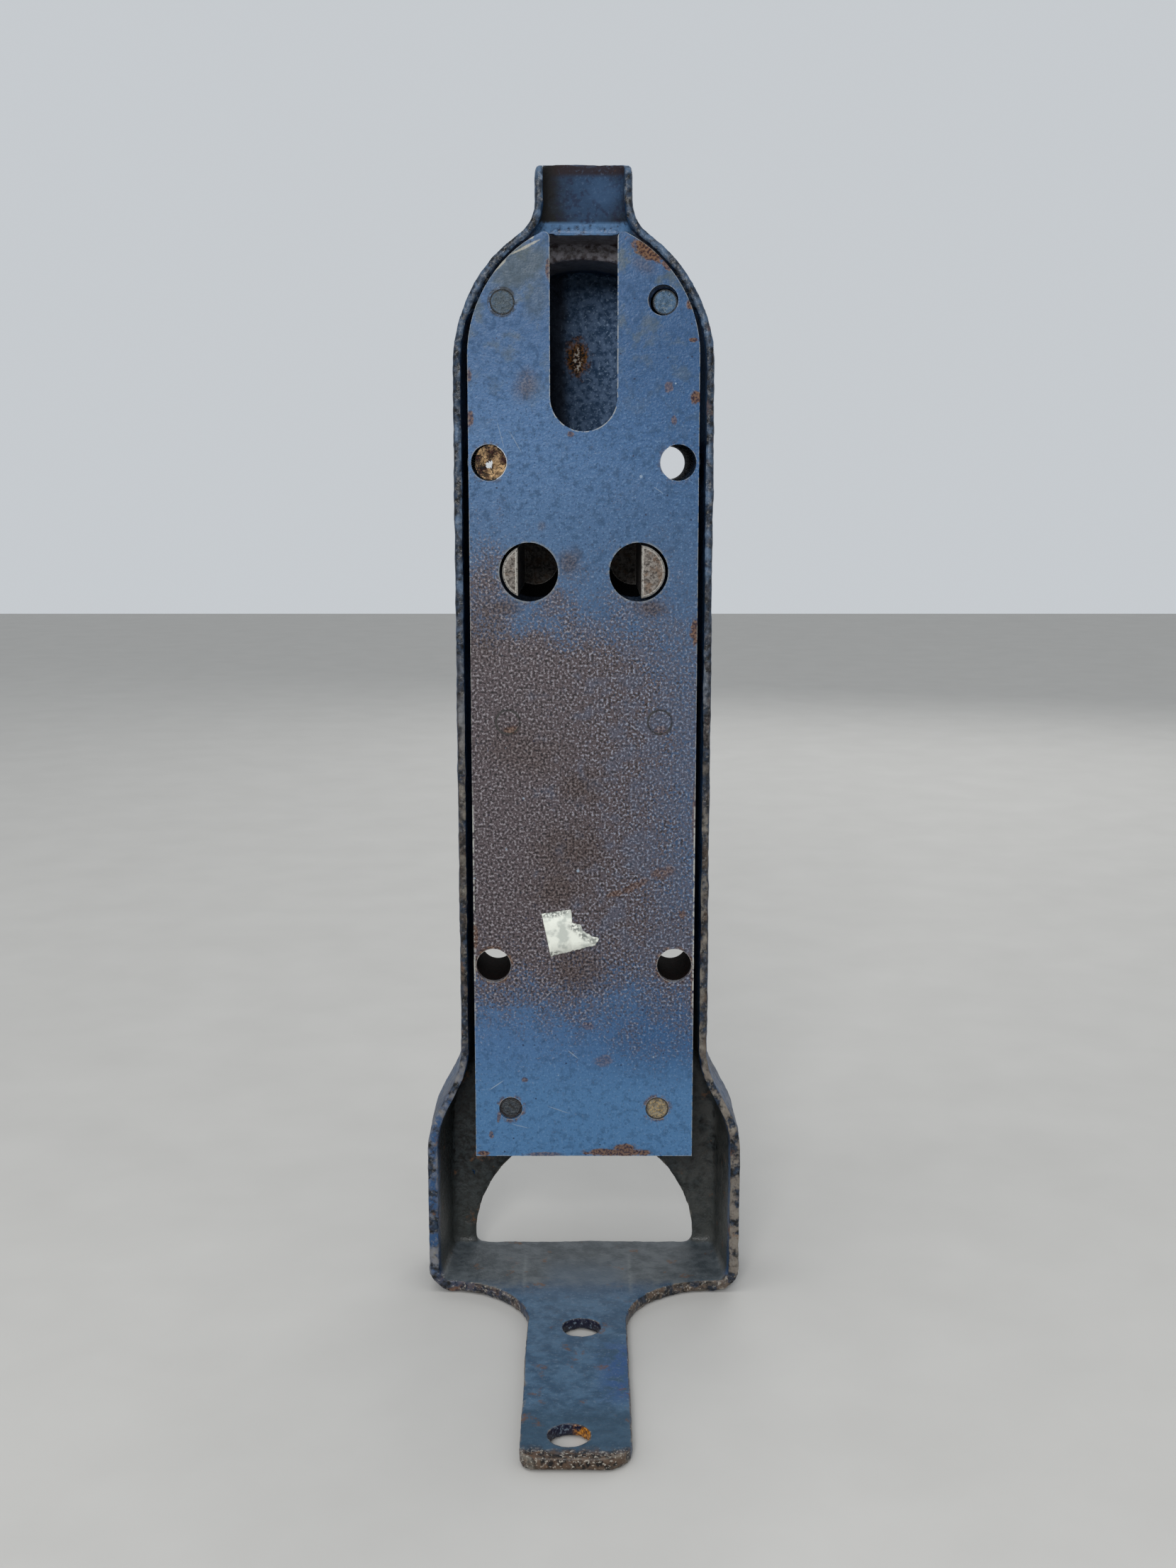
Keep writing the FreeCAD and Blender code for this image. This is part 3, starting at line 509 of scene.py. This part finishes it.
SCRATCHES = [
    (-30.0, 400.0, 5.0, 0.18, 60, 0.4), (-36.5, 403.0, 6.0, 0.18, 75, 0.35),
    (-12.0, 92.0, 5.0, 0.2, 20, 0.45), (-41.0, 104.0, 4.0, 0.22, -35, 0.6),
    (-30.0, 84.0, 4.0, 0.2, 15, 0.4), (33.0, 379.0, 2.5, 0.2, 35, 0.4),
    (-15.0, 150.0, 6.0, 0.2, -50, 0.25), (-5.0, 119.0, 3.0, 0.25, 40, 0.5),
]


def plate_paint():
    """Steel blue paint, rubbed through to a brown speckle over the plate's middle."""
    f = Finish("plate_paint")
    f.broad = f.cloud(34, seed=11, detail=2)
    f.medium = f.cloud(9, seed=12, detail=4, rough=0.6)
    f.small = f.cloud(3.0, seed=13, detail=3, rough=0.65)
    f.fine = f.cloud(1.1, seed=14, detail=1, rough=0.6)
    f.other = f.cloud(1.3, seed=15, detail=2, rough=0.7)
    zone = rubbed_zone(f)
    rust = plate_rust(f)

    colour = rubbed_middle(f, plate_blue(f), zone)
    colour = f.mix(f.spots(GREY_FILM, 0.8, f.medium, 0.5), colour, tint(76, 84, 84))
    stain = f.mix(f.fade(f.fine, 0.38, 0.6), tint(50, 42, 39), tint(94, 82, 76))
    colour = f.mix(f.spots(STAINS, 0.9, f.medium, 0.7), colour, stain)
    rusty = f.mix(f.fade(f.fine, 0.36, 0.62), tint(62, 47, 40), tint(116, 90, 70))
    colour = f.mix(rust, colour, rusty)
    colour = flaked_edges(f, colour)
    colour = chips_and_scratches(f, colour)

    normal = f.bump(f.calc("ADD", f.times(f.small, 0.6), f.times(f.fine, 0.4)), 0.3)
    roughness = f.most(f.fade(f.small, 0.3, 0.7, 0.36, 0.5), f.times(rust, 0.8),
                       f.times(zone, 0.52))
    return f.finish(colour, roughness, normal, specular=0.22)


def plate_blue(f):
    """Paler to the left by painted light, falling off to the right; paler at the bottom, duller in
    the middle, darker towards the top.
    """
    # painted light: lighter to the left, darker to the right
    painted_light_across = f.fade(f.calc("ADD", f.x, f.shifted(f.broad, 70, -35)), -30, 45)
    blue = f.mix(painted_light_across, tint(77, 107, 144), tint(61, 91, 128))
    blue = f.mix(f.fade(f.z, 128, 96), blue, tint(80, 114, 150))
    blue = f.mix(f.times(f.band(f.z, 150, 380, 40), 0.6), blue, tint(76, 98, 124))
    blue = f.mix(f.times(f.fade(f.fine, 0.52, 0.72), 0.5), blue, tint(104, 134, 166))
    calm = f.fade(f.z, 110, 150, 0.65, 1.0)
    blue = f.mix(f.times(f.fade(f.other, 0.46, 0.3), calm, 0.65), blue, tint(44, 64, 90))
    blue = f.mix(f.times(f.fade(f.small, 0.5, 0.66), calm, 0.6), blue, tint(54, 76, 102))
    blue = f.mix(f.fade(f.z, 395, 450, 0.0, 0.42), blue, tint(50, 74, 106))
    grey = f.times(f.fade(f.medium, 0.5, 0.66), f.fade(f.z, 380, 486, 0.0, 0.75))
    return f.mix(grey, blue, tint(82, 92, 96))


def rubbed_zone(f):
    """1 over the plate's middle, with uneven ends above and below."""
    high = f.calc("ADD", f.z, f.shifted(f.broad, 80, -40))
    low = f.calc("ADD", f.shifted(f.broad, 40, -20), f.shifted(f.x, 0.12, 0.0))
    low = f.calc("ADD", f.z, low)
    return f.times(f.fade(high, 385, 285), f.fade(low, 86, 200))


def rubbed_middle(f, blue, zone):
    """The middle is rubbed down to primer and brown iron, less so to the right."""
    lean = f.fade(f.calc("ADD", f.x, f.shifted(f.medium, 40, -20)), -6, 56, 0.0, 0.45)
    lean = f.times(lean, f.fade(f.z, 150, 200))
    worn = f.calc("SUBTRACT", zone, f.times(zone, lean))
    brown = f.mix(f.fade(f.fine, 0.36, 0.48), tint(40, 34, 35), tint(88, 80, 82))
    lilac = f.mix(f.fade(f.x, -30, 45), tint(146, 142, 146), tint(142, 150, 166))
    brown = f.mix(f.fade(f.fine, 0.55, 0.65), brown, lilac)
    grain = f.calc("ADD", f.times(f.other, 0.68), f.times(f.medium, 0.32))
    level = f.shifted(worn, -0.34, 0.66)
    speckle = f.fade(f.calc("SUBTRACT", grain, level), -0.08, 0.08)
    colour = f.mix(f.times(speckle, f.fade(worn, 0.1, 0.75, 0.45, 1.0)), blue, brown)
    colour = f.mix(f.times(worn, 0.2), colour, tint(86, 80, 84))
    cold = f.fade(f.calc("ADD", f.medium, f.shifted(f.x, 0.0035, 0.0)), 0.5, 0.7)
    return f.mix(f.times(zone, cold, 0.3), colour, tint(82, 96, 118))


def plate_rust(f):
    """Patches of rust, and rings of it round the bottom rivets and the bolt holes."""
    rust = f.spots(RUST_SPOTS, 0.9, f.small, 0.25)
    round_rivets = f.times(f.rings(BOTTOM_RIVETS, RIVET_RADIUS, 6.9, 0.9),
                           f.fade(f.small, 0.42, 0.6), 0.7)
    round_bolts = f.times(f.rings(LOW_BOLTS + HIGH_BOLTS, BOLT_RADIUS, 9.2, 0.8),
                          f.fade(f.small, 0.44, 0.6), f.fade(f.z, 391, 300, 0.25, 0.8))
    return f.most(rust, round_rivets, round_bolts)


def flaked_edges(f, colour):
    """Bright edges, partly bare flaked paint and partly painted highlight, strongest along the
    slot's right side and bottom; and thin outlines round the flush rivets and the pin holes.
    """
    below = f.calc("MINIMUM", f.calc("SUBTRACT", f.z, SLOT_ROUND), 0.0)
    reach = f.calc("SQRT", f.calc("MULTIPLY_ADD", f.x, f.x, f.times(below, below)))
    # painted highlight on the slot's lit edge, strongest at its right side and bottom
    slot_edge = f.times(f.band(reach, SLOT_HALF - 0.75, SLOT_HALF + 0.4, 0.25),
                        f.fade(f.z, 400, 405),
                        f.most(f.fade(f.x, -8, 2, 0.35, 1.0), f.fade(f.z, 430, 415)))
    # painted highlight along the plate's side edges
    side_edge = f.times(f.fade(f.calc("ABSOLUTE", f.x), PLATE_HALF - 0.9, PLATE_HALF - 0.4),
                        f.band(f.z, 140, 238, 14))
    # edges lightened by flaked paint and by painted highlight
    flaked_and_highlit = f.times(f.most(f.times(slot_edge, 0.7), f.edges(0.7), side_edge),
                     f.fade(f.small, 0.42, 0.54))
    colour = f.mix(f.times(flaked_and_highlit, 0.85), colour, tint(168, 168, 162))

    outlines = f.most(f.rings(MIDDLE_RIVETS, RIVET_RADIUS - 0.4, 6.0, 0.4),
                      f.rings(TOP_RIVETS[:1], RIVET_RADIUS, 6.5, 0.4))
    outlines = f.times(outlines, f.fade(f.small, 0.3, 0.5), 0.75)
    colour = f.mix(outlines, colour, tint(44, 38, 38))
    hole_edges = f.times(f.rings(PINS, 13.0, 13.9, 0.4), f.fade(f.small, 0.44, 0.56), 0.6)
    colour = f.mix(hole_edges, colour, tint(112, 118, 124))
    shoulder = f.spots(FLAKED_SHOULDER, 0.9, f.small, 0.3)
    return f.mix(shoulder, colour, tint(168, 164, 150))


def chips_and_scratches(f, colour):
    pale = f.most(f.specks(7.5, 0.5, 0.22, seed=3), f.specks(13, 0.75, 0.2, seed=5))
    colour = f.mix(f.times(pale, 0.7), colour, tint(144, 160, 176))
    colour = f.mix(f.times(f.specks(5, 0.45, 0.35, seed=7), 0.75), colour, tint(36, 46, 62))
    return f.mix(f.spots(SCRATCHES, 0.3, f.fine, 0.3), colour, tint(150, 160, 168))


# ---------------------------------------------------------------- finishes of the smaller pieces

def painted_rivet():
    f = Finish("rivet_paint")
    small = f.cloud(2.4, seed=41, detail=3, rough=0.65)
    fine = f.cloud(1.1, seed=42, detail=2, rough=0.7)
    colour = f.mix(f.fade(small, 0.35, 0.65), tint(54, 74, 92), tint(76, 102, 128))
    colour = f.mix(f.times(f.fade(fine, 0.52, 0.66), 0.6), colour, tint(122, 132, 136))
    dull = f.spot(TOP_RIVETS[0], (5, 6), ragged=0.8, grain=small, soft=0.4)
    colour = f.mix(f.times(dull, 0.6), colour, tint(74, 78, 76))
    rim = f.rings(TOP_RIVETS, RIVET_RADIUS - 0.6, 5.8, 0.4)
    colour = f.mix(f.times(rim, 0.92), colour, tint(34, 34, 36))
    return f.finish(colour, 0.45, f.bump(f.calc("ADD", small, fine), 0.9))


def bare_rivet(name, dark, light, flecks):
    f = Finish(name)
    small = f.cloud(2.2, seed=43, detail=3, rough=0.65)
    fine = f.cloud(0.9, seed=44, detail=2, rough=0.7)
    colour = f.mix(f.fade(small, 0.35, 0.65), dark, light)
    colour = f.mix(f.times(f.fade(fine, 0.52, 0.66), 0.75), colour, flecks)
    rim = f.most(f.rings(BOTTOM_RIVETS[:1], RIVET_RADIUS - 1.2, 5.8, 0.3),
                 f.rings(BOTTOM_RIVETS[1:], RIVET_RADIUS - 0.6, 5.8, 0.3))
    colour = f.mix(f.times(rim, 0.85), colour, tint(48, 40, 38))
    return f.finish(colour, 0.5, f.bump(f.calc("ADD", small, fine), 0.5))


def worn_steel(name, dark, light, rust, edge, metallic=0.35, specular=0.5):
    """Mottled metal with light edges, and a light outline on each pin's half-round end."""
    f = Finish(name)
    medium = f.cloud(4.5, seed=21, detail=4, rough=0.65)
    small = f.cloud(1.8, seed=22, detail=3, rough=0.65)
    fine = f.cloud(0.9, seed=23, detail=2, rough=0.65)
    colour = f.mix(f.fade(small, 0.38, 0.62), dark, light)
    colour = f.mix(f.times(f.fade(medium, 0.5, 0.62), 0.65), colour, rust)
    colour = f.mix(f.times(f.edges(0.9), f.fade(fine, 0.3, 0.5), 0.9), colour, edge)
    left_flat, right_flat = FLATS
    outline = f.most(f.rings(PINS, PIN_RADIUS - 0.9, PIN_RADIUS + 0.4, 0.3),
                     f.band(f.x, left_flat - 1, left_flat + 0.2, 0.2),
                     f.band(f.x, right_flat - 0.2, right_flat + 0.9, 0.2))
    outline = f.times(outline, f.fade(f.y, 3.5, 2), f.fade(fine, 0.3, 0.5))
    colour = f.mix(f.times(outline, 0.8), colour, edge)
    normal = f.bump(f.calc("ADD", f.times(small, 0.6), f.times(fine, 0.4)), 0.6)
    rough = f.most(f.fade(small, 0.3, 0.7, 0.36, 0.6), 1 - 2 * specular)
    return f.finish(colour, rough, normal, metallic, specular)


def crumbled_dirt():
    """Pale brown lumps, with painted shade in the cracks between them."""
    f = Finish("crumbled_dirt")
    medium = f.cloud(5.0, seed=51, detail=4, rough=0.65)
    fine = f.cloud(1.1, seed=52, detail=3, rough=0.7)
    colour = f.mix(f.fade(medium, 0.38, 0.6), tint(66, 46, 32), tint(196, 164, 124))
    colour = f.mix(f.times(f.fade(fine, 0.5, 0.36), 0.75), colour, tint(44, 30, 20))
    cracks = f.band(f.cloud(7.0, seed=53, detail=2, rough=0.6, warp=1.2), 0.49, 0.52, 0.018)
    # painted shade in the cracks
    colour = f.mix(f.times(cracks, 0.9), colour, tint(22, 15, 11))
    return f.finish(colour, 0.9, f.bump(f.calc("SUBTRACT", fine, cracks), 0.7))


def torn_paper():
    """Off-white paper, smudged along its edges and its folds."""
    f = Finish("torn_paper")
    medium = f.cloud(5, seed=61, detail=3, rough=0.6)
    small = f.cloud(1.4, seed=62, detail=3, rough=0.65)
    colour = f.mix(f.fade(medium, 0.46, 0.64), tint(224, 226, 216), tint(188, 192, 184))
    smudge = f.spots([(-13.5, 186.6, 8.0, 1.6, -8, 0.9), (-4.0, 180.0, 3.5, 2.0, 30, 0.8),
                      (0.0, 176.0, 4.0, 1.6, 35, 0.8), (-13.5, 167.5, 3.5, 1.6, -10, 0.9),
                      (4.5, 174.0, 2.5, 2.0, 0, 0.8)], 0.9, small, 0.5)
    colour = f.mix(f.times(smudge, f.fade(small, 0.42, 0.56)), colour, tint(84, 88, 86))
    return f.finish(colour, 0.85, f.bump(small, 0.15))


def give(material, *names):
    for name in names:
        node = NODES[name]
        node.data.materials.clear()
        node.data.materials.append(material)


# ---------------------------------------------------------------- casting texture

def rough_cast(node, voxel, share):
    """Remeshes a casting, softens its edges and sinks its skin unevenly, always inwards."""
    remesh = node.modifiers.new("even mesh", "REMESH")
    remesh.mode = "VOXEL"
    remesh.voxel_size = voxel * MM
    remesh.use_smooth_shade = True
    soften = node.modifiers.new("soften", "SMOOTH")
    soften.factor = 0.5
    soften.iterations = 5
    for name, size, depth in CAST_SKIN:
        texture = bpy.data.textures.new(f"cast_{name}", "CLOUDS")
        texture.noise_scale = size * MM
        texture.noise_depth = 1
        sink = node.modifiers.new(name, "DISPLACE")
        sink.texture = texture
        sink.texture_coords = "LOCAL"
        sink.mid_level = 0.0
        sink.strength = -depth * MM
    thin = node.modifiers.new("thin", "DECIMATE")
    thin.ratio = share


# ---------------------------------------------------------------- pieces of Blender's own

def new_piece(name, mesh, material):
    mesh.materials.append(material)
    for polygon in mesh.polygons:
        polygon.use_smooth = True
    piece = bpy.data.objects.new(name, mesh)
    bpy.context.scene.collection.objects.link(piece)
    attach(piece, "housing")
    return piece


def dirt_plug():
    """A crumbled plug of dirt in the upper left bolt hole, with a gap through its middle.

    It is a ring: a loop of points in section, from the gap out along the front and back again,
    carried round the hole's middle. It stands a little off the hole's left side.
    """
    around, across = 96, 15
    outer, gap = 7.7, 1.5
    front, back = 0.8, 8.0
    left_gap = 1.3
    centre = Vector((HIGH_BOLTS[0][0], 0, HIGH_BOLTS[0][1]))
    mesh = bpy.data.meshes.new("dirt_plug")
    loop = [(gap + (outer - gap) * step / across, front) for step in range(across + 1)]
    loop += [(outer + (gap - outer) * step / across, back) for step in range(1, across)]
    loop.append((gap, (front + back) / 2))
    points, faces = [], []
    for turn in range(around):
        angle = 2 * math.pi * turn / around
        ray = Vector((math.cos(angle), 0, math.sin(angle)))
        for reach, depth in loop:
            spot = ray * reach
            ragged = noise.noise(spot * 0.45 + Vector((3, 0, 9)))
            crumbs = noise.noise(spot * 1.1 + Vector((5, 2, 1)))
            inward = 1 - (reach - gap) / (outer - gap)
            reach += inward ** 3 * (1.1 * noise.noise(ray * 1.7) + 0.6 * noise.noise(ray * 4.0))
            reach -= (1 - inward) * 0.35 * abs(noise.noise(ray * 3 + Vector((0, 7, 0))))
            reach -= (1 - inward) * left_gap * max(0.0, -ray.x) ** 1.5
            if depth == front:
                depth += 1.3 + 1.6 * ragged + 0.9 * crumbs + 1.2 * inward
            slide = Vector((0.2 * inward, depth, -0.9 * inward))
            points.append((centre + ray * reach + slide) * MM)
    size = len(loop)
    for turn in range(around):
        here, there = turn * size, ((turn + 1) % around) * size
        for step in range(size):
            following = (step + 1) % size
            faces.append((here + step, here + following, there + following, there + step))
    mesh.from_pydata(points, [], faces)
    mesh.validate()
    face_outwards(mesh)
    return new_piece("dirt_plug", mesh, crumbled_dirt())


def face_outwards(mesh):
    work = bmesh.new()
    work.from_mesh(mesh)
    bmesh.ops.recalc_face_normals(work, faces=work.faces)
    work.to_mesh(mesh)
    work.free()


def paper_remnant():
    """What is left of a torn paper label on the plate, lifting a little at its lower right."""
    corners = [(-19.5, 186.7), (-5.9, 188.7), (-5.4, 182.6), (-1.5, 181.6),
               (-0.6, 178.6), (6.6, 174.9), (5.3, 171.8), (-15.3, 166.4)]
    cut_sides = 0, 7        # its top and its left side are cut, the others are torn
    lifted_corner = 6.0, 173.0
    step_length = 0.7
    edge = []
    for index, start in enumerate(corners):
        end = corners[(index + 1) % len(corners)]
        torn = 0.12 if index in cut_sides else 0.55
        steps = max(3, int(math.dist(start, end) / step_length))
        run = Vector((end[0] - start[0], end[1] - start[1]))
        side = Vector((-run.y, run.x)).normalized()
        for step in range(steps):
            point = Vector(start) + run * (step / steps)
            wander = noise.noise(Vector((point.x * 0.7, point.y * 0.7, 4.0)))
            tooth = noise.noise(Vector((point.x * 2.3, point.y * 2.3, 8.0)))
            point += side * torn * (wander + 0.6 * tooth)
            edge.append(point)
    work = bmesh.new()
    ring = [work.verts.new((point.x, 0, point.y)) for point in edge]
    face = work.faces.new(ring)
    bmesh.ops.triangulate(work, faces=[face])
    bmesh.ops.subdivide_edges(work, edges=work.edges[:], cuts=2, use_grid_fill=True)
    for vertex in work.verts:
        x, z = vertex.co.x, vertex.co.z
        lift = 0.12 + 0.10 * (1 + noise.noise(Vector((x * 0.35, z * 0.35, 2.0))))
        corner = max(0.0, 1 - math.dist((x, z), lifted_corner) / 6)
        vertex.co.y = -lift - 0.9 * corner ** 2
    for vertex in work.verts:
        vertex.co = vertex.co * MM
    mesh = bpy.data.meshes.new("paper_remnant")
    work.to_mesh(mesh)
    work.free()
    piece = new_piece("paper_remnant", mesh, torn_paper())
    thick = piece.modifiers.new("paper thickness", "SOLIDIFY")
    thick.thickness = 0.12 * MM
    thick.offset = 0
    return piece


# ---------------------------------------------------------------- floor, light and camera

def pale_floor():
    mesh = bpy.data.meshes.new("floor")
    half = 4.0
    corners = [(-half, -half, 0), (half, -half, 0), (half, half, 0), (-half, half, 0)]
    mesh.from_pydata(corners, [], [(0, 1, 2, 3)])
    floor = bpy.data.objects.new("floor", mesh)
    bpy.context.scene.collection.objects.link(floor)
    f = Finish("floor_paint")
    colour = f.mix(f.cloud(60, seed=31, detail=3), tint(186, 184, 180), tint(196, 194, 190))
    mesh.materials.append(f.finish(colour, 0.8))


def area_light(name, place, aim, size, power):
    data = bpy.data.lights.new(name, "AREA")
    data.shape = "SQUARE"
    data.size = size
    data.energy = power
    lamp = bpy.data.objects.new(name, data)
    lamp.location = place
    lamp.rotation_euler = (Vector(aim) - Vector(place)).to_track_quat("-Z", "Y").to_euler()
    bpy.context.scene.collection.objects.link(lamp)


def studio():
    """A small light in front, two wide ones above and behind, and a pale sky."""
    target = (0, 0, 0.28)
    area_light("key", (-0.22, -1.6, 0.86), target, size=0.45, power=15)
    area_light("above", (-0.3, -0.4, 1.9), target, size=1.2, power=7)
    area_light("behind", (0.5, 1.7, 1.2), target, size=1.4, power=9)
    world = bpy.data.worlds.new("studio")
    world.use_nodes = True
    sky = world.node_tree.nodes["Background"]
    sky.inputs["Color"].default_value = (0.63, 0.66, 0.69, 1)
    sky.inputs["Strength"].default_value = 0.9
    bpy.context.scene.world = world


def camera():
    """In front of the plate, at two thirds of the height, looking a little down."""
    downwards = 10.03
    data = bpy.data.cameras.new("camera")
    data.sensor_width = 36
    data.lens = 41.42
    made = bpy.data.objects.new("camera", data)
    made.location = (0.0019, -0.807, 0.390)
    made.rotation_euler = (math.radians(90 - downwards), 0, 0)
    bpy.context.scene.collection.objects.link(made)
    bpy.context.scene.camera = made


def finish_nodes():
    give(housing_paint(), "housing_shell")
    give(plate_paint(), "front_plate", "rivet_middle_left", "rivet_middle_right")
    give(painted_rivet(), "rivet_top_left", "rivet_top_right")
    give(bare_rivet("rivet_dark", tint(34, 38, 44), tint(58, 64, 70), tint(84, 88, 90)),
         "rivet_bottom_left")
    give(bare_rivet("rivet_rusty", tint(86, 80, 70), tint(134, 124, 104), tint(176, 146, 92)),
         "rivet_bottom_right")
    give(worn_steel("pin_steel", tint(66, 61, 57), tint(128, 122, 116), tint(104, 84, 68),
                    tint(196, 192, 184)),
         *[f"{piece}_{side}" for side in SIDES
           for piece in ("half_round_pin", "thrust_washer", "retaining_ring")])
    # bushes and tubes coloured near black: painted shade deep in their holes
    give(worn_steel("bush_bronze", tint(16, 15, 14), tint(30, 27, 24), tint(26, 22, 18),
                    tint(50, 44, 36), metallic=0.0, specular=0.1), "bush_left", "bush_right")
    give(worn_steel("tube_steel", tint(26, 24, 24), tint(50, 46, 44), tint(50, 40, 34),
                    tint(90, 84, 76), metallic=0.0, specular=0.04),
         *[name for name in NODES if name.startswith(("spacer_", "bolt_sleeve_low_"))])
    give(worn_steel("sleeve_paint", tint(38, 50, 62), tint(62, 80, 100), tint(50, 46, 44),
                    tint(110, 120, 130), metallic=0.0, specular=0.08),
         "bolt_sleeve_high_left", "bolt_sleeve_high_right")


finish_nodes()
rough_cast(NODES["housing_shell"], voxel=1.3, share=0.42)
dirt_plug()
paper_remnant()
pale_floor()
studio()
camera()
bpy.context.scene.view_settings.view_transform = "Standard"
